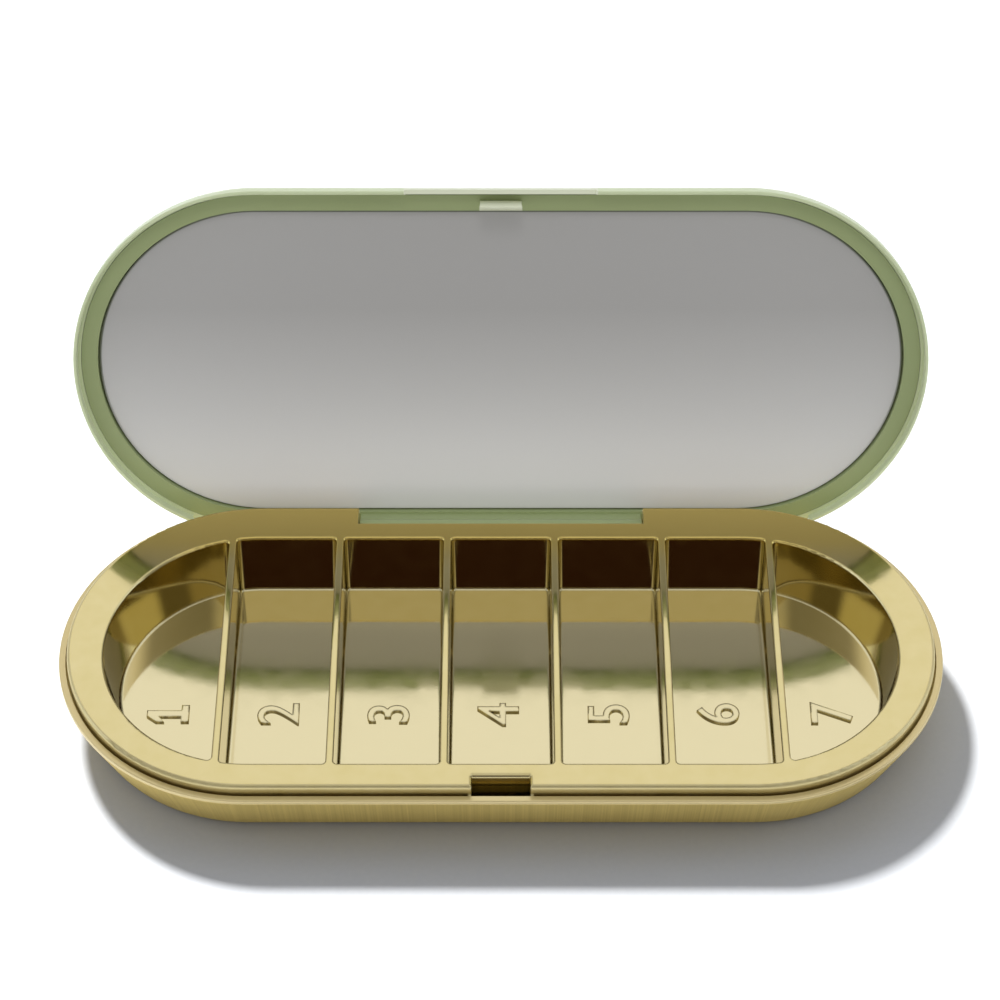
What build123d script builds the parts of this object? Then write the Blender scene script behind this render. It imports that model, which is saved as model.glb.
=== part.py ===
from build123d import *
from math import acos, asin, atan2, cos, degrees, hypot, radians, sin, tan
import os

# A weekly pill box: a long round-ended case, with a seven-compartment tray in its base
# and a mirror in its lid. Millimetres. The origin is the middle of the underside,
# X runs along the case, the hinge is at +Y and +Z is up.

# Whole case
case_length = 172.2
case_width = 76.1
base_height = 15.7          # underside to the top of the tray's rim
lid_gap = 0.25              # room between the closed lid and the base
lid_open_angle = 110.5      # turn from closed to the stop
over_cut = 20.0             # how far cutting blocks reach past the surface that they cut

# Base shell
shell_floor = 1.7
shell_wall = 1.8
lip_width = 1.3
lip_drop = 2.3              # the lip's top, below the tray's rim
lip_edge = 0.9              # upright edge under the lip's top
lip_round = 0.3
ledge_drop = 1.2            # seat for the tray's skirt, below the lip's top
foot_inset = 7.2            # edge of the flat underside, inside the outline
foot_round = 3.0

# Compartment tray
compartments = 7
shadow_gap = 0.4            # groove between the tray's rim and the lip
rim_round = 0.7
rim_plate = 1.6
skirt_wall = 1.4
tray_floor = 1.3
tray_wall = 1.5
opening_inset = 8.85        # edge of the compartments, inside the outline
opening_shift = -1.5        # the compartments sit forward, clear of the hinge
wall_inset = 2.3            # each compartment wall leans in by this much at the floor
end_extra = 2.0             # the rounded end compartments are longer by this
divider_top = 1.5
divider_draft = 1.0         # degrees on each face
corner_round = 0.8
floor_round = 0.5
edge_round = 0.4
mouth_rise = 1.0            # the hollows' cutting shapes reach above the rim by this

# Catch at the front
catch_width = 11.1
catch_depth = 2.6           # notch in the rim, measured from its outer edge
catch_round = 0.8           # rounding of the notch's back edge
catch_flare = 0.4           # bevel of its side edges
catch_wall = 1.3
catch_reach = 5.0           # height of the notch's back wall
ramp_proud = 0.2            # sloped ramp on the notch's back wall, which the tab snaps behind
ramp_drop = 1.9
ramp_nose = 0.4
ramp_under = 0.5
catch_rib = 0.6             # closes the groove at each side of the notch
rib_gap = 0.05
tab_width = 8.1
tab_thick = 0.5
tab_reach = 4.0             # below the lid's land
tab_inset = 3.25            # tab's outer face, inside the outline
tab_round = 0.2
barb_proud = 0.15
barb_height = 0.5

# Hinge at the back
hinge_inset = 3.65          # axis inside the outline
hinge_drop = 4.75           # axis below the tray's rim
knuckle_width = 57.1
knuckle_radius = 2.2
knuckle_side_gap = 0.25
knuckle_front_gap = 0.5
arm_front = 1.3             # the arm that carries the knuckle, in front of the axis
arm_back = 1.45
stop_room = 0.9             # notch's lower edge below the knuckle, which stops the arm
boss_length = 7.2
boss_reach = 2.4            # boss around the axis, in front and below
boss_gap = 0.3
pin_radius = 0.75
pin_grip = 7.0              # length inside the knuckle
pin_end_gap = 0.3
running_clearance = 0.05

# Lid
lid_inset = 0.75            # the lid's outline, inside the base's
lid_height = 7.4            # edge of the lid to its top
dome_round = 5.8
cover_wall = 1.3
bond_gap = 0.1
land_width = 3.3            # flat ring around the mirror
mirror_recess = 1.0
mirror_thick = 0.8
mirror_gap = 0.35
adhesive_thick = 0.3
adhesive_margin = 1.5
band_gap = 0.25             # room between the lid's thin lower edge and the tray's rim
band_round = 0.45           # outer rounding of that edge; its inner one takes the rest of its thickness
relief_front = 0.3          # the lid's edge is cut away from here back, in front of the axis
grip_length = 38.3
grip_flat = 1.3             # width of the thumb flat on the lid's edge, each way
grip_slant = 30.0

# Values worked out from the sizes above
case_radius = case_width / 2
straight_half = case_length / 2 - case_radius
lip_top = base_height - lip_drop
lip_foot = lip_top - lip_edge
ledge_height = lip_top - ledge_drop
rim_radius = case_radius - lip_width - shadow_gap
opening_radius = case_radius - opening_inset
floor_height = shell_floor + tray_floor
compartment_depth = base_height - floor_height
pitch = (2 * (straight_half + opening_radius) - 2 * end_extra) / compartments
hinge_y = case_radius - hinge_inset
hinge_z = base_height - hinge_drop
notch_half = knuckle_width / 2 + knuckle_side_gap
notch_front = hinge_y - knuckle_radius - knuckle_front_gap
notch_floor = hinge_z - knuckle_radius - stop_room
land_height = base_height + lid_gap
lid_edge = lip_top + lid_gap
lid_top = lid_edge + lid_height
lid_radius = case_radius - lid_inset
band_inner = rim_radius + band_gap
frame_radius = lid_radius - cover_wall - bond_gap
pocket_radius = frame_radius - land_width
mirror_face = land_height + mirror_recess
mirror_back = mirror_face + mirror_thick
pocket_top = mirror_back + adhesive_thick
hinge_axis = Axis((0, hinge_y, hinge_z), (-1, 0, 0))


def section(*edges):
    """A flat section from its edges, drawn outward along X and upward along Y, stood up in XZ."""
    return Plane.XZ * make_face([edge for line in edges for edge in line.edges()])


def around(face):
    """Carries a section round the outline: a half turn at each end and two straights between."""
    right_end = Pos(straight_half, 0, 0) * revolve(Rot(0, 0, -90) * face, Axis.Z, 180)
    left_end = mirror(right_end, about=Plane.YZ)
    back = extrude(Rot(0, 0, 90) * face, straight_half, both=True)
    front = mirror(back, about=Plane.XZ)
    return right_end + left_end + back + front


def block(x_from, x_to, y_from, y_to, z_from, z_to):
    """A box between six planes."""
    middle = Pos((x_from + x_to) / 2, (y_from + y_to) / 2, (z_from + z_to) / 2)
    return middle * Box(x_to - x_from, y_to - y_from, z_to - z_from)


def rod(radius, x_from, x_to, y, z):
    """A round bar along X."""
    return Pos((x_from + x_to) / 2, y, z) * Rot(0, 90, 0) * Cylinder(radius, x_to - x_from)


def both_sides(solid):
    """A solid with its mirror image at the other end of the case."""
    return solid + mirror(solid, about=Plane.YZ)


def base_shell():
    """Outer bowl with its lip, the notch for the lid's knuckle and a boss for each hinge pin."""
    foot_radius = case_radius - foot_inset
    lip_rise = lip_foot - foot_round
    lean = acos(foot_round / hypot(lip_rise, foot_inset)) - atan2(lip_rise, foot_inset)
    tangent = CenterArc((foot_radius, foot_round), foot_round, -90, 90 - degrees(lean))

    def inner_radius(height):
        return case_radius - shell_wall / cos(lean) - (lip_foot - height) * tan(lean)

    outer_edges = (
        Line((0, 0), (foot_radius, 0)),
        tangent,
        Polyline(tangent @ 1, (case_radius, lip_foot), (case_radius, lip_top - lip_round)),
        CenterArc((case_radius - lip_round, lip_top - lip_round), lip_round, 0, 90),
    )
    lip_corner = (case_radius - lip_round, lip_top)
    bowl = around(section(
        *outer_edges,
        Polyline(
            lip_corner,
            (case_radius - lip_width, lip_top),
            (case_radius - lip_width, ledge_height),
            (inner_radius(ledge_height), ledge_height),
            (inner_radius(shell_floor), shell_floor),
            (0, shell_floor),
            (0, 0),
        ),
    ))
    filled = around(section(*outer_edges, Polyline(lip_corner, (0, lip_top), (0, 0))))
    boss = block(
        notch_half, notch_half + boss_length,
        hinge_y - boss_reach, case_radius,
        hinge_z - boss_reach, lip_top - boss_gap,
    )
    notch = block(
        -notch_half, notch_half,
        notch_front, case_radius + over_cut,
        notch_floor, lip_top + over_cut,
    )
    bore = rod(pin_radius, notch_half, notch_half + boss_length, hinge_y, hinge_z)
    return bowl + (both_sides(boss) & filled) - notch - both_sides(bore)


def compartment_cells():
    """The seven hollows of the tray, with drafted walls and rounded corners and floors."""
    floor_radius = opening_radius - wall_inset
    mouth_height = base_height + mouth_rise
    mouth_radius = opening_radius + mouth_rise * wall_inset / compartment_depth
    cavity = Pos(0, opening_shift, 0) * around(section(Polyline(
        (0, floor_height),
        (floor_radius, floor_height),
        (mouth_radius, mouth_height),
        (0, mouth_height),
        (0, floor_height),
    )))
    half_foot = divider_top / 2 + compartment_depth * tan(radians(divider_draft))
    half_mouth = divider_top / 2 - mouth_rise * tan(radians(divider_draft))
    divider = extrude(section(Polyline(
        (-half_foot, floor_height),
        (half_foot, floor_height),
        (half_mouth, mouth_height),
        (-half_mouth, mouth_height),
        (-half_foot, floor_height),
    )), case_width, both=True)
    for number in range(compartments - 1):
        cavity -= Pos((number - (compartments - 2) / 2) * pitch, 0, 0) * divider
    sides = [edge for edge in cavity.edges() if abs((edge @ 1 - edge @ 0).Z) > compartment_depth / 2]
    corners = [edge for edge in sides if abs(abs((edge @ 0.5).X / pitch) % 1 - 0.5) * pitch < half_foot]
    cavity = fillet(corners, corner_round)
    floors = cavity.faces().filter_by(Axis.Z).group_by(Axis.Z)[0]
    return fillet([edge for floor in floors for edge in floor.edges()], floor_round)


def compartment_tray():
    """Insert with its rim and skirt, seven compartments, the catch notch and the gap for the knuckle."""
    plate_foot = base_height - rim_plate
    tray = around(section(
        Polyline(
            (0, plate_foot),
            (rim_radius - skirt_wall, plate_foot),
            (rim_radius - skirt_wall, ledge_height),
            (rim_radius, ledge_height),
            (rim_radius, base_height - rim_round),
        ),
        CenterArc((rim_radius - rim_round, base_height - rim_round), rim_round, 0, 90),
        Polyline((rim_radius - rim_round, base_height), (0, base_height), (0, plate_foot)),
    ))
    tray += Pos(0, opening_shift, 0) * around(section(Polyline(
        (0, shell_floor),
        (opening_radius - wall_inset + tray_wall, shell_floor),
        (opening_radius + tray_wall, plate_foot + rim_plate / 2),
        (0, plate_foot + rim_plate / 2),
        (0, shell_floor),
    )))
    catch_back = catch_depth - rim_radius
    catch_half = catch_width / 2
    opening_front = opening_shift - opening_radius
    tray += block(
        -catch_half - catch_wall, catch_half + catch_wall,
        catch_back, opening_front,
        base_height - catch_reach, base_height - rim_plate / 2,
    )
    tray += both_sides(block(
        catch_half, catch_half + catch_wall,
        skirt_wall / 2 - rim_radius, catch_back,
        ledge_height, base_height - rim_plate / 2,
    ))
    tray += both_sides(block(
        catch_half, catch_half + catch_rib,
        lip_width + rib_gap - case_radius, skirt_wall / 2 - rim_radius,
        ledge_height, lip_top,
    ))
    tray -= compartment_cells()
    top = tray.faces().filter_by(Axis.Z).sort_by(Axis.Z)[-1]
    tray = fillet([edge for wire in top.inner_wires() for edge in wire.edges()], edge_round)
    tray -= block(
        -catch_half, catch_half,
        -case_radius - over_cut, catch_back,
        0, base_height + over_cut,
    )
    flare = section(Polyline(
        (-catch_half, base_height - catch_flare),
        (catch_half, base_height - catch_flare),
        (catch_half + catch_flare + mouth_rise, base_height + mouth_rise),
        (-catch_half - catch_flare - mouth_rise, base_height + mouth_rise),
        (-catch_half, base_height - catch_flare),
    ))
    tray -= Pos(0, catch_back, 0) * extrude(flare, case_radius)
    edge_top = (catch_back + catch_round, base_height)
    edge_foot = (catch_back, base_height - catch_round)
    back_edge = CenterArc((edge_top[0], edge_foot[1]), catch_round, 90, 90).edges() + Polyline(
        edge_foot,
        (catch_back - mouth_rise, edge_foot[1]),
        (catch_back - mouth_rise, base_height + mouth_rise),
        (edge_top[0], base_height + mouth_rise),
        edge_top,
    ).edges()
    tray -= extrude(Plane.YZ * make_face(back_edge), catch_half, both=True)
    ramp_face = catch_back - ramp_proud
    ramp_root = catch_back + catch_wall / 2
    nose_top = base_height - ramp_drop
    nose_foot = nose_top - ramp_nose
    ramp = Plane.YZ * make_face(Polyline(
        (ramp_root, edge_foot[1]),
        edge_foot,
        (ramp_face, nose_top),
        (ramp_face, nose_foot),
        (catch_back, nose_foot - ramp_under),
        (ramp_root, nose_foot - ramp_under),
        (ramp_root, edge_foot[1]),
    ).edges())
    tray += extrude(ramp, catch_half, both=True)
    tray -= block(
        -notch_half, notch_half,
        notch_front, case_radius + over_cut,
        0, base_height + over_cut,
    )
    tray -= both_sides(block(
        notch_half, notch_half + boss_length + boss_gap,
        notch_front, case_radius + over_cut,
        0, lip_top,
    ))
    return tray


def lid_cover():
    """Outer shell of the lid, closed, with its thin rounded edge, thumb flat and hinge relief."""
    dome_centre = (lid_radius - dome_round, lid_top - dome_round)
    inner_round = dome_round - cover_wall
    inner_band = lid_radius - band_inner - band_round
    start = degrees(asin((land_height - dome_centre[1]) / inner_round))
    ceiling = CenterArc(dome_centre, inner_round, start, 90 - start)
    cover = around(section(
        Line((0, lid_top), (dome_centre[0], lid_top)),
        CenterArc(dome_centre, dome_round, 0, 90),
        Line((lid_radius, dome_centre[1]), (lid_radius, lid_edge + band_round)),
        CenterArc((lid_radius - band_round, lid_edge + band_round), band_round, -90, 90),
        CenterArc((band_inner + inner_band, lid_edge + inner_band), inner_band, 180, 90),
        Polyline((band_inner, lid_edge + inner_band), (band_inner, land_height), ceiling @ 0),
        ceiling,
        Polyline(ceiling @ 1, (0, lid_top - cover_wall), (0, lid_top)),
    ))
    relief_angle = asin((hinge_y - relief_front) / lid_radius)
    relief_reach = lid_radius + over_cut
    relief_corner = (straight_half + relief_reach * cos(relief_angle), relief_reach * sin(relief_angle))
    relief_outline = make_face(Polyline(
        (-straight_half, 0),
        (straight_half, 0),
        relief_corner,
        (-relief_corner[0], relief_corner[1]),
        (-straight_half, 0),
    ).edges())
    relief_foot = lid_edge - over_cut
    relief = extrude(Pos(0, 0, relief_foot) * relief_outline, land_height - relief_foot)
    flat_middle = (0, grip_flat / 2 - lid_radius, lid_edge + grip_flat / 2)
    flat_plane = Plane(flat_middle, x_dir=(1, 0, 0), z_dir=(0, -1, -1))
    flat_outline = flat_plane * Rectangle(grip_length - grip_flat, 4 * grip_flat)
    return cover - relief - extrude(flat_outline, grip_flat, taper=-grip_slant)


def lid_frame():
    """Inner frame of the lid, closed: mirror pocket, land, snap tab, and the knuckle on its arm."""
    dome_centre = (lid_radius - dome_round, lid_top - dome_round)
    outer_round = dome_round - cover_wall - bond_gap
    start = degrees(asin((land_height - dome_centre[1]) / outer_round))
    shoulder = CenterArc(dome_centre, outer_round, start, 90 - start)
    frame_top = dome_centre[1] + outer_round
    frame = around(section(
        shoulder,
        Polyline(
            shoulder @ 1,
            (0, frame_top),
            (0, pocket_top),
            (pocket_radius, pocket_top),
            (pocket_radius, land_height),
            shoulder @ 0,
        ),
    ))
    tab_outer = tab_inset - case_radius
    tab_inner = tab_outer + tab_thick
    tab_foot = land_height - tab_reach
    tab = block(-tab_width / 2, tab_width / 2, tab_outer, tab_inner, tab_foot, land_height + tab_round)
    tab = fillet(tab.faces().sort_by(Axis.Z)[0].edges(), tab_round)
    barb_section = Plane.YZ * make_face(Polyline(
        (tab_inner, tab_foot + tab_round),
        (tab_inner + barb_proud, tab_foot + tab_round + barb_height / 2),
        (tab_inner, tab_foot + tab_round + barb_height),
        (tab_inner - tab_round, tab_foot + tab_round + barb_height / 2),
        (tab_inner, tab_foot + tab_round),
    ).edges())
    tab += extrude(barb_section, tab_width / 2 - tab_round, both=True)
    knuckle_half = knuckle_width / 2
    knuckle = rod(knuckle_radius, -knuckle_half, knuckle_half, hinge_y, hinge_z)
    knuckle += block(
        -knuckle_half, knuckle_half,
        hinge_y - arm_front, hinge_y + arm_back,
        hinge_z, land_height + bond_gap,
    )
    bore_radius = pin_radius + running_clearance
    bore = rod(bore_radius, knuckle_half - pin_grip - pin_end_gap, knuckle_half, hinge_y, hinge_z)
    return frame + tab + knuckle - both_sides(bore)


def mirror_sheet():
    """Mirror plate, closed, at the bottom of the frame's pocket."""
    inset = case_radius - pocket_radius + mirror_gap
    outline = SlotOverall(case_length - 2 * inset, case_width - 2 * inset)
    return extrude(Pos(0, 0, mirror_face) * outline, mirror_thick)


def mirror_adhesive():
    """Double-sided sheet, closed, between the mirror and the frame."""
    inset = case_radius - pocket_radius + mirror_gap + adhesive_margin
    outline = SlotOverall(case_length - 2 * inset, case_width - 2 * inset)
    return extrude(Pos(0, 0, mirror_back) * outline, adhesive_thick)


def hinge_pin(side):
    """Steel pin, held in the shell's boss and turning in the knuckle, at one end of the knuckle."""
    pin = rod(pin_radius, knuckle_width / 2 - pin_grip, notch_half + boss_length, hinge_y, hinge_z)
    return pin if side > 0 else mirror(pin, about=Plane.YZ)


def opened(solid):
    """A piece of the lid, turned from closed to the stop."""
    return solid.rotate(hinge_axis, lid_open_angle)


pieces = {
    "base_shell": base_shell(),
    "compartment_tray": compartment_tray(),
    "hinge_pin_left": hinge_pin(-1),
    "hinge_pin_right": hinge_pin(1),
    "lid_cover": opened(lid_cover()),
    "lid_frame": opened(lid_frame()),
    "mirror": opened(mirror_sheet()),
    "mirror_adhesive": opened(mirror_adhesive()),
}

os.makedirs("parts", exist_ok=True)
for name, piece in pieces.items():
    export_step(piece, f"parts/{name}.step")
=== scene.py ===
# %% [markdown]
# # A weekly pill box
# A long, round-ended case lies open on a pale table. Its base holds a gold tray with seven compartments,
# and its sage green lid holds a mirror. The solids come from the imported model. This file adds what the
# solids lack: the finishes, the numerals on the compartment floors, the table, the light and the camera.

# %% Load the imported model
from math import cos, radians, sin

import bpy
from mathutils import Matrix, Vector


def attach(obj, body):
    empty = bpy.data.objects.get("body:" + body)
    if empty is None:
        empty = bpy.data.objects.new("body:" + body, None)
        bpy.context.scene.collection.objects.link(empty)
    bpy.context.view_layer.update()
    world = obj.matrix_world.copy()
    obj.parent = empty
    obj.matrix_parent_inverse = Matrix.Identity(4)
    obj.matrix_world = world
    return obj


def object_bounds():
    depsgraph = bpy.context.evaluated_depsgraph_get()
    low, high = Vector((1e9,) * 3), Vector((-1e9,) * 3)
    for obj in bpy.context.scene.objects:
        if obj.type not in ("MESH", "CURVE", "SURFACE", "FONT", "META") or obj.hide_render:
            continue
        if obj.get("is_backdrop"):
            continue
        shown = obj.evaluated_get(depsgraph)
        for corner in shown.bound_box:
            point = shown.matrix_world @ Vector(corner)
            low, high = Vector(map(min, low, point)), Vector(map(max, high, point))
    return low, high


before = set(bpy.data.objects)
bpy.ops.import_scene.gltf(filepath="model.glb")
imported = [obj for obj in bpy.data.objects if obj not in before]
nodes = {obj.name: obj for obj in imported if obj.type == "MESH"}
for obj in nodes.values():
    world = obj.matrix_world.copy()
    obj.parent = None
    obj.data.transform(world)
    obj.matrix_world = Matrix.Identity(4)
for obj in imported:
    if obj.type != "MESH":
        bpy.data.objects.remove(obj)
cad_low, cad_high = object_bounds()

scene = bpy.context.scene
millimetre = 0.001
print("pieces from the packed model:", sorted(nodes))
print("size in mm:", [round(side / millimetre, 1) for side in cad_high - cad_low])

# %% [markdown]
# ## The camera
# The picture is taken from the front, well above the case, with a long lens. A long lens keeps the sides of
# the compartments nearly parallel, and a wide one would spread them. The height of the eye and the lens
# were found by matching the rims and edges of the solids with the outlines in the picture, so the numbers
# below are measured ones.

# %% Place the camera
eye_distance = 627.69 * millimetre
eye_height_angle = radians(45.687)
focal_length_in_frames = 3.08846
aim_point = Vector((-0.17, 38.332, 15.7)) * millimetre
to_eye = Vector((0, -cos(eye_height_angle), sin(eye_height_angle)))

camera = bpy.data.objects.new("camera", bpy.data.cameras.new("camera"))
camera.data.sensor_width = 36
camera.data.lens = focal_length_in_frames * camera.data.sensor_width
camera.location = aim_point + to_eye * eye_distance
camera.rotation_euler = (-to_eye).to_track_quat("-Z", "Y").to_euler()
camera.data.clip_start = 0.01
scene.collection.objects.link(camera)
scene.camera = camera
print("lens:", round(camera.data.lens, 1), "mm, eye at", [round(value, 3) for value in camera.location])

# %% [markdown]
# ## How the case lies
# Some finishes change from place to place, for example at the edge of the mirror. They need a few sizes of
# the case. Its outline is a straight part with two half circles, so a line between the centres of the half
# circles, the spine, is all it takes to tell how far a point is from the edge. The lid is open, so its own
# directions are tilted with it.

# %% Sizes that the finishes follow
straight_half = 48.05 * millimetre
rim_radius = 36.35 * millimetre
mirror_radius = 32.05 * millimetre
open_angle = 110.5
hinge = Vector((0, 34.4, 10.95)) * millimetre
toward_grip = Vector((0, -cos(radians(open_angle)), sin(radians(open_angle))))
lid_outward = Vector((0, sin(radians(open_angle)), cos(radians(open_angle))))
print("lid opened by", open_angle, "degrees about", [round(value / millimetre, 2) for value in hinge])

# %% [markdown]
# ## Building finishes from nodes
# Every finish below starts from Blender's Principled shader. These helpers add one node at a time and join
# it to the one before, so that each finish reads as a short list of what the real surface shows. Object
# coordinates are in metres here, so a texture scale of 1000 makes a grain about one millimetre across.

# %% Helpers that add nodes
def new_finish(name):
    """A node material, and the Principled shader that it starts with."""
    finish = bpy.data.materials.new(name)
    finish.use_nodes = True
    return finish, finish.node_tree.nodes["Principled BSDF"]


def join(finish, value, socket):
    """Sets a socket to a value, or links it where the value is another socket."""
    if isinstance(value, bpy.types.NodeSocket):
        finish.node_tree.links.new(value, socket)
    else:
        socket.default_value = value


def add_node(finish, kind, inputs=None, **settings):
    """Adds a node. An input is given a value, or another node's output socket to be joined to."""
    node = finish.node_tree.nodes.new(kind)
    for setting, value in settings.items():
        setattr(node, setting, value)
    for socket, value in (inputs or {}).items():
        join(finish, value, node.inputs[socket])
    return node


def calculate(finish, operation, *values):
    """The result of a sum on values."""
    return add_node(finish, "ShaderNodeMath", dict(enumerate(values)), operation=operation).outputs["Value"]


def calculate_vector(finish, operation, *vectors, result="Vector"):
    """The result of a sum on vectors: another vector, or a value."""
    inputs = dict(enumerate(vectors))
    return add_node(finish, "ShaderNodeVectorMath", inputs, operation=operation).outputs[result]


def dress(finish, *names):
    """Gives a finish to CAD pieces by replacing the material in their slots."""
    for name in names:
        nodes[name].data.materials.clear()
        nodes[name].data.materials.append(finish)
    print(finish.name, "on", ", ".join(names))


# %% [markdown]
# The next helpers tell where on a piece the light meets it, and turn that place into a share between 0 and
# 1. Two colours are then mixed by the share. This is how one material can be painted a paler cream on a
# floor, a painted highlight, and deep gold on a rim.

# %% Helpers that find places
def millimetres(*values):
    """Lengths in metres from lengths in millimetres."""
    return tuple(value * millimetre for value in values)


def object_place(finish):
    """Where a point is on the piece as it stands at rest, in metres."""
    return add_node(finish, "ShaderNodeTexCoord").outputs["Object"]


def coordinate(finish, axis):
    """One of the three object coordinates. Z is the height above the table."""
    return add_node(finish, "ShaderNodeSeparateXYZ", {"Vector": object_place(finish)}).outputs[axis]


def remap(finish, value, span, target=(0.0, 1.0), smooth=False):
    """Carries a value from one span to another, held at its ends."""
    inputs = {
        "Value": value,
        "From Min": span[0],
        "From Max": span[1],
        "To Min": target[0],
        "To Max": target[1],
    }
    kind = "SMOOTHSTEP" if smooth else "LINEAR"
    return add_node(finish, "ShaderNodeMapRange", inputs, interpolation_type=kind).outputs["Result"]


def near_middle(finish, half_width):
    """One within the given distance of the case's middle, and nothing beyond it."""
    soft_edge = 0.2 * millimetre
    from_middle = calculate(finish, "ABSOLUTE", coordinate(finish, "X"))
    return remap(finish, from_middle, (half_width, half_width + soft_edge), (1.0, 0.0))


def spine_distance(finish, along, across):
    """Distance from the spine that joins the centres of the case's two round ends."""
    far = 100 * millimetre
    half_length = calculate(finish, "ABSOLUTE", along)
    past_straight = remap(finish, half_length, (straight_half, far), (0.0, far - straight_half))
    offset = add_node(finish, "ShaderNodeCombineXYZ", {"X": past_straight, "Y": across}).outputs["Vector"]
    return calculate_vector(finish, "LENGTH", offset, result="Value")


# %% Helpers for grain, colour and relief
def grain(finish, scale, detail=2.0, stretch=(1, 1, 1), place=None):
    """A cloudy noise value from 0 to 1, at the object's own coordinates or at the given ones."""
    if place is None:
        mapping = {"Vector": object_place(finish), "Scale": stretch}
        place = add_node(finish, "ShaderNodeMapping", mapping).outputs["Vector"]
    inputs = {"Vector": place, "Scale": scale, "Detail": detail}
    return add_node(finish, "ShaderNodeTexNoise", inputs).outputs["Fac"]


def blend_colours(finish, share, first, second):
    """A mix of two colours, by a share from 0 to 1."""
    node = add_node(finish, "ShaderNodeMix", data_type="RGBA")
    colour_inputs = [socket for socket in node.inputs if socket.type == "RGBA"]
    join(finish, share, node.inputs["Factor"])
    for socket, colour in zip(colour_inputs, (first, second)):
        join(finish, colour, socket)
    return next(socket for socket in node.outputs if socket.type == "RGBA")


def relief(finish, height, depth, under=None):
    """A bump of the given depth in metres, on top of other normals where there are any."""
    inputs = {"Height": height, "Distance": depth, "Strength": 1.0}
    if under:
        inputs["Normal"] = under
    return add_node(finish, "ShaderNodeBump", inputs).outputs["Normal"]


# %% [markdown]
# ## The polished gold tray
# The tray is moulded plastic with a mirror-bright gold layer, put on in a vacuum chamber and then
# lacquered. It has little colour of its own: it shows its surroundings, tinted gold. So the shader is a
# metal with a low roughness, and the studio further down does the rest. The tint still matters. It drifts a
# little between two golds. On the floors it is painted a paler cream, a painted highlight for bright
# reflections that wash out there. On the rim beside the hinge it is painted warmer, a painted reflection of
# the brownish thing that the rim mirrors.

# %% Polished gold: the tint
tray_gold, tray_shader = new_finish("tray_gold")
deep_gold = (0.55, 0.465, 0.215, 1)
pale_gold = (0.61, 0.525, 0.285, 1)
# Painted highlight: the floors are tinted a paler cream, standing in for bright reflections that wash out
# there.
floor_highlight_gold = (0.62, 0.55, 0.34, 1)
# Painted reflection: the rim beside the hinge is tinted warmer, standing in for the brownish thing that it
# mirrors.
back_rim_reflection_gold = (0.61, 0.47, 0.15, 1)

haze = grain(tray_gold, 260, detail=4)
height = coordinate(tray_gold, "Z")
tint = blend_colours(tray_gold, haze, deep_gold, pale_gold)
floor_highlight_share = remap(tray_gold, height, millimetres(3.1, 3.9), (1.0, 0.0), smooth=True)
tint = blend_colours(tray_gold, floor_highlight_share, tint, floor_highlight_gold)
# The painted reflection covers the back of the tray, at the rim's height.
back_share = remap(tray_gold, coordinate(tray_gold, "Y"), millimetres(18, 28), smooth=True)
rim_share = remap(tray_gold, height, millimetres(14.5, 15.2))
back_rim_reflection_share = calculate(tray_gold, "MULTIPLY", back_share, rim_share)
tint = blend_colours(tray_gold, back_rim_reflection_share, tint, back_rim_reflection_gold)
join(tray_gold, tint, tray_shader.inputs["Base Color"])
tray_shader.inputs["Metallic"].default_value = 1.0
dress(tray_gold, "compartment_tray")

# %% [markdown]
# A mirror shows every unevenness, so three small things keep the tray from looking like glass. Its normals
# are evened out close to the edges by a Bevel node, which needs no more faces and makes the mouths look
# moulded. Two faint bumps follow, a slow waviness left by the mould and a fine haze in the lacquer. The
# rim's outer rounding is rubbed by fingers and by the lid, so it is rougher than the rest.

# %% Polished gold: the surface
lacquer_roughness = remap(tray_gold, haze, (0.3, 0.7), (0.05, 0.10))
from_spine = spine_distance(tray_gold, coordinate(tray_gold, "X"), coordinate(tray_gold, "Y"))
rubbed_span = (rim_radius - 0.95 * millimetre, rim_radius - 0.45 * millimetre)
rubbed = remap(tray_gold, from_spine, rubbed_span, (0.0, 0.30), smooth=True)
tray_roughness = calculate(tray_gold, "ADD", lacquer_roughness, rubbed)
join(tray_gold, tray_roughness, tray_shader.inputs["Roughness"])

edge_rounding = {"Radius": 0.5 * millimetre}
soft_edges = add_node(tray_gold, "ShaderNodeBevel", edge_rounding, samples=6).outputs["Normal"]
mould_waves = relief(tray_gold, grain(tray_gold, 90, detail=1), 0.012 * millimetre, under=soft_edges)
lacquer = relief(tray_gold, grain(tray_gold, 2400, detail=1), 0.0012 * millimetre, under=mould_waves)
join(tray_gold, lacquer, tray_shader.inputs["Normal"])
print("tray nodes:", len(tray_gold.node_tree.nodes))

# %% [markdown]
# ## The satin gold shell
# The outer shell is drawn into fine upright lines, so it glows softly and doesn't mirror. The lines run
# down the wall, all round the outline. A noise makes them, read at a place that stays the same all the way
# down. X and Y alone would not do, because the wall leans inward. So each point is carried straight out
# from the spine to one fixed outline, and the noise is read there.

# %% Satin gold: a place on the outline
shell_gold, shell_shader = new_finish("shell_gold")
outline_radius = 38 * millimetre
straight_span = {"Value": coordinate(shell_gold, "X"), "Min": -straight_half, "Max": straight_half}
along = add_node(shell_gold, "ShaderNodeClamp", straight_span).outputs["Result"]
level = {"X": along, "Z": coordinate(shell_gold, "Z")}
spine_point = add_node(shell_gold, "ShaderNodeCombineXYZ", level).outputs["Vector"]
foot_point = add_node(shell_gold, "ShaderNodeCombineXYZ", {"X": along}).outputs["Vector"]
outward = calculate_vector(shell_gold, "SUBTRACT", object_place(shell_gold), spine_point)
way_out = calculate_vector(shell_gold, "NORMALIZE", outward)
reach = (outline_radius, outline_radius, outline_radius)
on_outline = calculate_vector(shell_gold, "MULTIPLY_ADD", way_out, reach, foot_point)
print("lines follow an outline", round(2 * outline_radius / millimetre), "mm wide")
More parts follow.
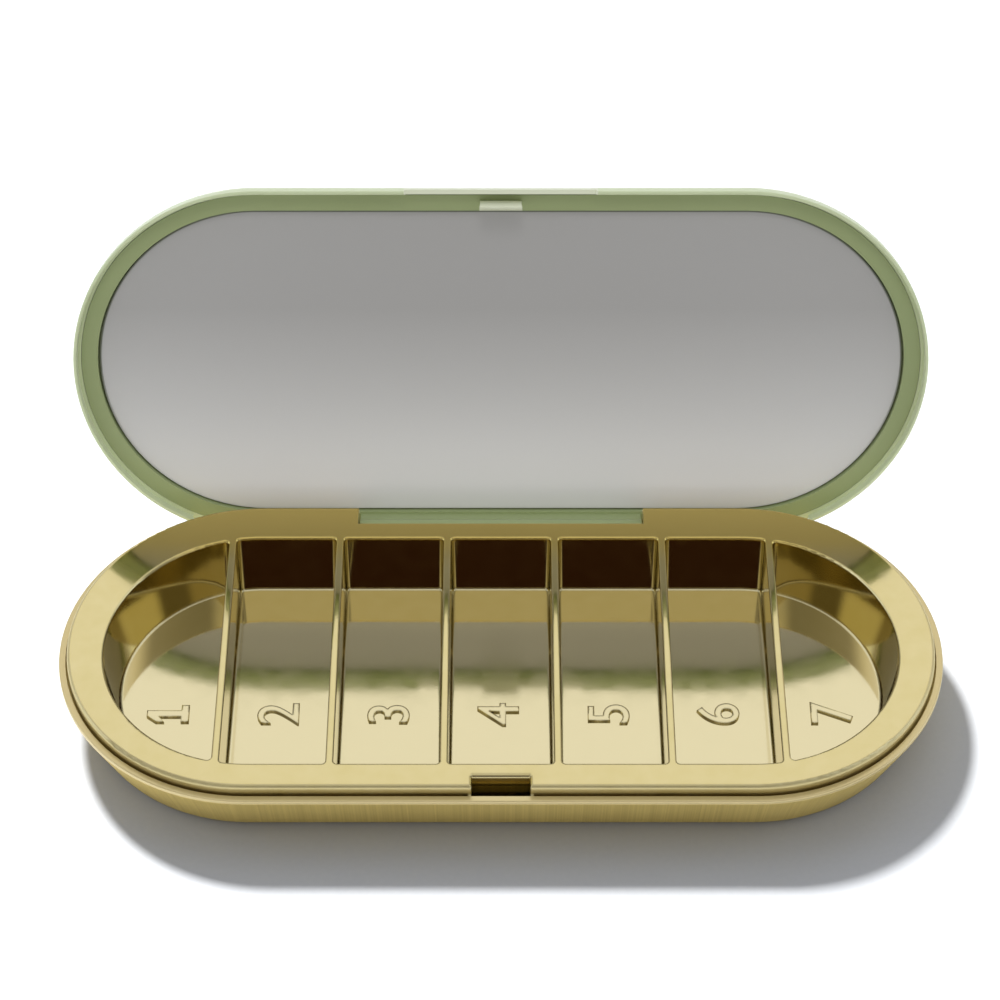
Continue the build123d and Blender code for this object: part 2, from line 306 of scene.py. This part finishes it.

# %% [markdown]
# The lip around the top of the shell is smoother than the wall, and it is painted paler, a painted
# highlight where its top faces the light. The height decides which of the two a point belongs to. A fine
# speckle changes the wall's roughness, so that the lines don't look printed.

# %% Satin gold: lines, lip and speckle
dark_line = (0.55, 0.41, 0.115, 1)
light_line = (0.69, 0.53, 0.16, 1)
# Painted highlight: the lip is coloured paler because its top faces the light.
lip_highlight_colour = (0.70, 0.57, 0.28, 1)
lines = grain(shell_gold, 3200, detail=1, place=on_outline)
speckle = grain(shell_gold, 5200, detail=2)
wall_colour = blend_colours(shell_gold, remap(shell_gold, lines, (0.2, 0.8)), dark_line, light_line)
lip_share = remap(shell_gold, coordinate(shell_gold, "Z"), millimetres(12.4, 12.8))
shell_colour = blend_colours(shell_gold, lip_share, wall_colour, lip_highlight_colour)
join(shell_gold, shell_colour, shell_shader.inputs["Base Color"])

wall_roughness = remap(shell_gold, speckle, (0.3, 0.7), (0.47, 0.53))
polish = remap(shell_gold, lip_share, (0.0, 1.0), (1.0, 0.45))
shell_roughness = calculate(shell_gold, "MULTIPLY", wall_roughness, polish)
join(shell_gold, shell_roughness, shell_shader.inputs["Roughness"])
line_bump = relief(shell_gold, lines, 0.025 * millimetre)
speckle_bump = relief(shell_gold, speckle, 0.002 * millimetre, under=line_bump)
join(shell_gold, speckle_bump, shell_shader.inputs["Normal"])
shell_shader.inputs["Metallic"].default_value = 0.4
dress(shell_gold, "base_shell")

# %% [markdown]
# ## The sage green lid
# The lid is moulded in coloured plastic with a satin surface. A plain green would look like paper, so three
# small things are added: a slow drift in the colour, a roughness that changes a little from place to place,
# and the fine grain of a spark-eroded mould. The snap tab is painted paler than the frame that it stands
# on, a painted highlight where its face looks up at the light; its roughness is the frame's.

# %% Satin sage: the frame
dark_sage = (0.29, 0.345, 0.155, 1)
light_sage = (0.33, 0.385, 0.185, 1)
# Painted highlight: the snap tab and the thumb flat are coloured pale where they face the light overhead.
painted_highlight_sage = (0.70, 0.72, 0.53, 1)
mould_depth = 0.008 * millimetre

frame_sage, frame_shader = new_finish("sage_satin")
frame_colour = blend_colours(frame_sage, grain(frame_sage, 45, detail=3), dark_sage, light_sage)
# The painted highlight covers the snap tab's face.
tab_front = remap(frame_sage, coordinate(frame_sage, "Y"), millimetres(62.8, 63.0), (1.0, 0.0))
tab_top = remap(frame_sage, coordinate(frame_sage, "Z"), millimetres(71.6, 72.0))
tab_corner = calculate(frame_sage, "MULTIPLY", tab_front, tab_top)
tab_highlight_share = calculate(frame_sage, "MULTIPLY", near_middle(frame_sage, 4.1 * millimetre), tab_corner)
frame_colour = blend_colours(frame_sage, tab_highlight_share, frame_colour, painted_highlight_sage)
join(frame_sage, frame_colour, frame_shader.inputs["Base Color"])
frame_roughness = remap(frame_sage, grain(frame_sage, 700, detail=3), (0.3, 0.7), (0.34, 0.46))
join(frame_sage, frame_roughness, frame_shader.inputs["Roughness"])
join(frame_sage, relief(frame_sage, grain(frame_sage, 6500), mould_depth), frame_shader.inputs["Normal"])
frame_shader.inputs["Specular IOR Level"].default_value = 0.35
dress(frame_sage, "lid_frame")

# %% [markdown]
# The cover's edge is painted paler, a painted sheen that stands in for the light that the edge catches; the
# edge is the part of the cover that the camera sees. Its outside takes the frame's green. The change from
# one to the other follows the way the surface faces, so it is spread over the rounding and has no line in
# it. The thumb flat is painted pale like the snap tab, a painted highlight.

# %% Satin sage: the cover
# Painted sheen: the cover's edge is coloured paler, standing in for the light that its rounding catches.
edge_sheen_dark = (0.56, 0.625, 0.37, 1)
edge_sheen_light = (0.61, 0.675, 0.42, 1)
cover_sage, cover_shader = new_finish("sage_cover")
cover_drift = grain(cover_sage, 45, detail=3)
edge_sheen_colour = blend_colours(cover_sage, cover_drift, edge_sheen_dark, edge_sheen_light)
outside_colour = blend_colours(cover_sage, cover_drift, dark_sage, light_sage)
facing = add_node(cover_sage, "ShaderNodeTexCoord").outputs["Normal"]
faces_outward = calculate_vector(cover_sage, "DOT_PRODUCT", facing, lid_outward, result="Value")
outside_share = remap(cover_sage, faces_outward, (0.2, 1.0), smooth=True)
cover_colour = blend_colours(cover_sage, outside_share, edge_sheen_colour, outside_colour)
# Painted highlight: the thumb flat is coloured pale like the snap tab.
grip_share = remap(cover_sage, coordinate(cover_sage, "Z"), millimetres(75.0, 75.4))
flat_highlight_share = calculate(cover_sage, "MULTIPLY", near_middle(cover_sage, 18.8 * millimetre), grip_share)
cover_colour = blend_colours(cover_sage, flat_highlight_share, cover_colour, painted_highlight_sage)
join(cover_sage, cover_colour, cover_shader.inputs["Base Color"])
cover_roughness = remap(cover_sage, cover_drift, (0.3, 0.7), (0.34, 0.46))
join(cover_sage, cover_roughness, cover_shader.inputs["Roughness"])
join(cover_sage, relief(cover_sage, grain(cover_sage, 6500), mould_depth), cover_shader.inputs["Normal"])
cover_shader.inputs["Sheen Weight"].default_value = 0.3
cover_shader.inputs["Specular IOR Level"].default_value = 0.35
dress(cover_sage, "lid_cover")

# %% [markdown]
# ## The mirror
# A bare mirror would be a metal shader with no roughness, and it would show the room. The one in the
# picture shows only a soft grey that gets lighter toward the hinge. So it has a rough surface with hardly
# any metal in it and the faint clouds that wiping leaves, and its grey is painted lighter toward the hinge
# and darker toward the top: painted light and shade by height.

# %% Glass with painted light and shade by height
silver, silver_shader = new_finish("mirror_silver")
# Painted light and shade: the glass is coloured darker at the top and lighter toward the hinge.
shaded_top_glass = (0.41, 0.40, 0.385, 1)
lit_foot_glass = (0.70, 0.695, 0.675, 1)
wipes = grain(silver, 30, detail=1, stretch=(1, 0.5, 2))
wiped_roughness = remap(silver, wipes, (0.2, 0.8), (0.28, 0.295), smooth=True)
join(silver, wiped_roughness, silver_shader.inputs["Roughness"])
# The painted gradient follows the height alone.
light_gradient_share = remap(silver, coordinate(silver, "Z"), millimetres(14, 52), (1.0, 0.0))
light_gradient_colour = blend_colours(silver, light_gradient_share, shaded_top_glass, lit_foot_glass)
silver_shader.inputs["Metallic"].default_value = 0.06
dress(silver, "mirror")

# %% [markdown]
# A thin dark line is painted around the glass's edge. It is partly the bare edge where the silver ends
# short of the glass, and partly painted shade of the gap around the mirror. The line is found by the
# distance from the spine, measured in the plane of the tilted lid. It fades near the hinge, where light
# from the tray brightens it.

# %% The mirror's dark edge line, partly painted shade
# Partly painted shade: the dark line stands for the unsilvered edge and for the shadow in the gap around
# the glass.
edge_line_shade = (0.12, 0.13, 0.09, 1)
line_width = 0.2 * millimetre
middle_of_lid = hinge.dot(toward_grip) + hinge.y
climb = calculate_vector(silver, "DOT_PRODUCT", object_place(silver), toward_grip, result="Value")
across = calculate(silver, "SUBTRACT", climb, middle_of_lid)
from_spine = spine_distance(silver, coordinate(silver, "X"), across)
line_share = remap(silver, from_spine, (mirror_radius - line_width, mirror_radius))
line_strength = remap(silver, coordinate(silver, "Z"), millimetres(22, 40), (0.15, 1.0))
edge_line_shade_share = calculate(silver, "MULTIPLY", line_share, line_strength)
join(silver, blend_colours(silver, edge_line_shade_share, light_gradient_colour, edge_line_shade), silver_shader.inputs["Base Color"])
print("bare edge", round(line_width / millimetre, 2), "mm wide")

# %% [markdown]
# ## The pins and the tape
# The hinge pins are ground steel, with fine lines around them. The tape behind the mirror is white foam.
# Both are hidden while the case is whole, and they still get finishes of their own.

# %% Ground steel
steel, steel_shader = new_finish("pin_steel_ground")
ground_lines = grain(steel, 4000, detail=2, stretch=(1, 0.05, 0.05))
join(steel, remap(steel, ground_lines, (0.3, 0.7), (0.2, 0.4)), steel_shader.inputs["Roughness"])
join(steel, relief(steel, ground_lines, 0.01 * millimetre), steel_shader.inputs["Normal"])
steel_shader.inputs["Base Color"].default_value = (0.60, 0.60, 0.59, 1)
steel_shader.inputs["Metallic"].default_value = 1.0
dress(steel, "hinge_pin_left", "hinge_pin_right")

# %% Foam tape
dark_foam = (0.68, 0.68, 0.65, 1)
light_foam = (0.80, 0.80, 0.77, 1)
foam, foam_shader = new_finish("tape_foam")
cells = grain(foam, 3000, detail=2)
join(foam, blend_colours(foam, cells, dark_foam, light_foam), foam_shader.inputs["Base Color"])
join(foam, relief(foam, cells, 0.05 * millimetre), foam_shader.inputs["Normal"])
foam_shader.inputs["Roughness"].default_value = 0.85
dress(foam, "mirror_adhesive")

# %% [markdown]
# ## The numerals on the floors
# Each compartment has a raised mark on its floor. Plain numerals from 1 to 7 stand there, turned so that
# they read from front to back. They could be cut into the tray's mesh, but a piece that lies on the floor
# is simpler and leaves the solid as it is. Blender's own text object makes the outline. The font's 1 is a
# bare stroke, which looks like a bar when it is turned, so that one is drawn with a flag and a foot.

# %% Outlines of the numerals
numeral_height = 8.0 * millimetre
capital_share = 0.7


def text_outline(number):
    """A numeral from Blender's own font, centred."""
    text = bpy.data.curves.new(f"numeral_{number}", "FONT")
    text.body = str(number)
    text.size = numeral_height / capital_share
    text.align_x = "CENTER"
    text.align_y = "CENTER"
    return text


def drawn_one():
    """The numeral 1 with a flag and a foot, going round its outline from the foot's left corner."""
    top = numeral_height / 2
    stem = numeral_height * 0.08
    foot = numeral_height * 0.25
    flag = numeral_height * 0.22
    foot_top = 2 * stem - top
    corners = [
        (-foot, -top),
        (foot, -top),
        (foot, foot_top),
        (stem, foot_top),
        (stem, top),
        (-stem, top),
        (-foot, top - flag),
        (-foot, top - flag - 2 * stem),
        (-stem, top - 3 * stem),
        (-stem, foot_top),
        (-foot, foot_top),
    ]
    outline = bpy.data.curves.new("numeral_1", "CURVE")
    outline.dimensions = "2D"
    outline.fill_mode = "BOTH"
    line = outline.splines.new("POLY")
    line.points.add(len(corners) - 1)
    for point, (right, up) in zip(line.points, corners):
        point.co = (right, up, 0, 1)
    line.use_cyclic_u = True
    return outline


print("numerals are", round(numeral_height / millimetre, 1), "mm high")

# %% [markdown]
# An outline gets a thickness and a rounded edge, and is then turned into a mesh, so that it can carry the
# tray's finish and move with the base. The compartments are one pitch apart. The two at the ends reach
# farther out, so their numerals are shifted a little.

# %% Raised numerals
floor_height = 3.0 * millimetre
compartment_pitch = 21.5 * millimetre
end_shift = 0.6 * millimetre
numeral_rise = 0.5 * millimetre
numeral_edge = 0.15 * millimetre
numeral_depth = -8 * millimetre
compartments = 7


def raised_numeral(number, x):
    """One numeral as a mesh, lying on a compartment floor with its top toward -X."""
    outline = drawn_one() if number == 1 else text_outline(number)
    outline.extrude = numeral_rise / 2 - numeral_edge / 2
    outline.bevel_depth = numeral_edge
    outline.bevel_resolution = 3
    shape = bpy.data.objects.new(f"numeral_outline_{number}", outline)
    mesh = bpy.data.meshes.new_from_object(shape)
    bpy.data.objects.remove(shape)
    for face in mesh.polygons:
        face.use_smooth = True
    mesh.materials.clear()
    mesh.materials.append(tray_gold)
    piece = bpy.data.objects.new(f"numeral_{number}", mesh)
    piece.location = (x, numeral_depth, floor_height + numeral_rise / 2 - numeral_edge / 2)
    piece.rotation_euler = (0, 0, radians(90))
    scene.collection.objects.link(piece)
    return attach(piece, "base")


numerals = []
last_step = (compartments - 1) / 2
for number in range(1, compartments + 1):
    step = number - 1 - last_step
    x = step * compartment_pitch
    if abs(step) == last_step:
        x += end_shift if x > 0 else -end_shift
    numerals.append(raised_numeral(number, x))
print("numerals:", len(numerals), "of", round(numerals[0].dimensions.x / millimetre, 2), "mm wide")

# %% [markdown]
# ## The table
# A pale table carries the case. It is much larger than the view, because the tray and the mirror show it. A
# disc has no corners to be seen in them, and a faint speckle keeps it from looking empty from close by.

# %% A pale table
table_radius = 2.5
table_corners = 96
turns = [radians(corner * 360 / table_corners) for corner in range(table_corners)]
ring = [(table_radius * cos(turn), table_radius * sin(turn), 0) for turn in turns]
table_mesh = bpy.data.meshes.new("table")
table_mesh.from_pydata(ring, [], [range(table_corners)])
table = bpy.data.objects.new("table", table_mesh)
scene.collection.objects.link(table)
table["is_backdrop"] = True

dark_table = (0.42, 0.43, 0.445, 1)
light_table = (0.45, 0.46, 0.475, 1)
table_white, table_shader = new_finish("table_white")
paper = grain(table_white, 900, detail=3)
paper_colour = blend_colours(table_white, paper, dark_table, light_table)
join(table_white, paper_colour, table_shader.inputs["Base Color"])
table_shader.inputs["Roughness"].default_value = 0.9
table_shader.inputs["Specular IOR Level"].default_value = 0.1
table_mesh.materials.append(table_white)
print("table:", table_radius * 2, "m across")

# %% [markdown]
# ## The studio
# The gold shows the room, so the room is designed like a photo studio. Walls of soft grey come first:
# bright behind the case, and in front bright only near the table. They are gradients on the world, by the
# direction of the ray, so they are the same for every camera. Real panels would also work, but a gradient
# has no edges to be seen.

# %% The walls of the room
world = bpy.data.worlds.new("studio")
scene.world = world
world.use_nodes = True
direction = add_node(world, "ShaderNodeTexCoord").outputs["Generated"]
ways = add_node(world, "ShaderNodeSeparateXYZ", {"Vector": direction}).outputs


def tone_ramp(value, stops):
    """Grey tones by a value from -1 to 1."""
    ramp = add_node(world, "ShaderNodeValToRGB", {"Fac": remap(world, value, (-1, 1))})
    ramp.color_ramp.interpolation = "EASE"
    while len(ramp.color_ramp.elements) < len(stops):
        ramp.color_ramp.elements.new(0.5)
    for element, (place, tone) in zip(ramp.color_ramp.elements, stops):
        element.position = (place + 1) / 2
        element.color = (tone, tone, tone, 1)
    return ramp.outputs["Color"]


behind = tone_ramp(ways["Z"], [(-0.1, 0.8), (0.0, 0.8), (0.3, 0.7), (1.0, 0.5)])
ahead = tone_ramp(ways["Z"], [(-0.1, 0.85), (0.0, 0.85), (0.08, 0.75), (0.22, 0.33), (1.0, 0.4)])
behind_share = remap(world, ways["Y"], (-0.25, 0.3), smooth=True)
room = blend_colours(world, behind_share, ahead, behind)
print("walls joined to the world")

# %% [markdown]
# Round cards with soft edges hang in the room, each in the direction that one part of the tray mirrors.
# White ones at the sides light the round ends, and others light the lip, the rims and the floors. A dark
# one in front makes the back walls of the compartments brown. An edge and a core are given as cosines from
# the card's direction.

# %% Cards that the gold shows
def hang(room, toward, edge, core, colour):
    """Adds a soft-edged round card to the room."""
    nearness = calculate_vector(world, "DOT_PRODUCT", direction, toward, result="Value")
    share = remap(world, nearness, (edge, core), smooth=True)
    return blend_colours(world, share, room, (*colour, 1))


def grey(tone):
    """A colour with the same tone in red, green and blue."""
    return (tone, tone, tone)


cool_white = (1.5, 1.65, 2.0)
dark_brown = (0.045, 0.018, 0.012)
for side in (-1, 1):
    room = hang(room, (side * 0.847, 0.098, 0.522), 0.93, 0.975, cool_white)
    room = hang(room, (side * 0.45, -0.787, 0.42), 0.93, 0.97, grey(0.8))
room = hang(room, (0, 0.70, 0.714), 0.78, 0.94, grey(1.25))
room = hang(room, (0, -0.35, 0.937), 0.94, 0.98, grey(0.95))
room = hang(room, (0, 0.34, 0.94), 0.94, 0.985, grey(1.1))
room = hang(room, (0, -0.906, 0.42), 0.955, 0.98, dark_brown)
background = world.node_tree.nodes["Background"]
join(world, room, background.inputs["Color"])
background.inputs["Strength"].default_value = 1.0
print("world nodes:", len(world.node_tree.nodes))

# %% [markdown]
# ## The lamps
# In the picture the base throws a shadow forward and to the right, and the lid throws none. One lamp can't
# do that, so light linking is used: a lamp is told which pieces it lights and which pieces shade it. The
# table lamp stands behind the case on the left, lights the table and is shaded by the base. A weak lamp
# overhead lights the lid. A very weak one close to the tray stands for the light that the gold throws up
# onto the lid's foot. The lamps are kept out of the reflections, so that the gold shows only the room.

# %% The lamps
def piece_group(name, pieces):
    """A collection that only says which pieces a lamp deals with."""
    group = bpy.data.collections.new(name)
    for piece in pieces:
        group.objects.link(piece)
    return group


def add_lamp(name, watts, place, aim, size, lit, shading):
    """A soft lamp that lights some pieces and is shaded by others."""
    lamp = bpy.data.objects.new(name, bpy.data.lights.new(name, "AREA"))
    lamp.data.shape = "ELLIPSE"
    lamp.data.size = size[0]
    lamp.data.size_y = size[1]
    lamp.data.energy = watts
    lamp.visible_glossy = False
    lamp.visible_camera = False
    lamp.location = place
    lamp.rotation_euler = (Vector(aim) - Vector(place)).to_track_quat("-Z", "Y").to_euler()
    scene.collection.objects.link(lamp)
    lamp.light_linking.receiver_collection = piece_group(name + "_lit", lit)
    lamp.light_linking.blocker_collection = piece_group(name + "_shading", shading)
    print(name, watts, "W at", place)


lid_pieces = [nodes[name] for name in ("lid_cover", "lid_frame", "mirror", "mirror_adhesive")]
base_names = ("base_shell", "compartment_tray", "hinge_pin_left", "hinge_pin_right")
base_pieces = [nodes[name] for name in base_names]
case_middle = (0, 0, 0)
add_lamp("table_lamp", 62, (-0.45, 0.82, 1.06), case_middle, (0.22, 0.22), [table], base_pieces)
add_lamp("lid_lamp", 2.2, (0, -0.30, 1.35), case_middle, (0.40, 0.40), lid_pieces, lid_pieces)
lid_foot = (0, 0.040, 0.026)
add_lamp("tray_glow", 0.005, (0, 0.027, 0.023), lid_foot, (0.19, 0.008), lid_pieces, lid_pieces)
scene.view_settings.view_transform = "Standard"

# %% [markdown]
# ## Sizes
# The dressed model stays in the box of the solids. The last line prints how far the dressed model reaches
# past the box of the solids.

# %% Print the growth past the solids' box
new_low, new_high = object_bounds()
growth = max((cad_low - new_low)[:] + (new_high - cad_high)[:])
print("largest growth in mm:", round(growth / millimetre, 3))
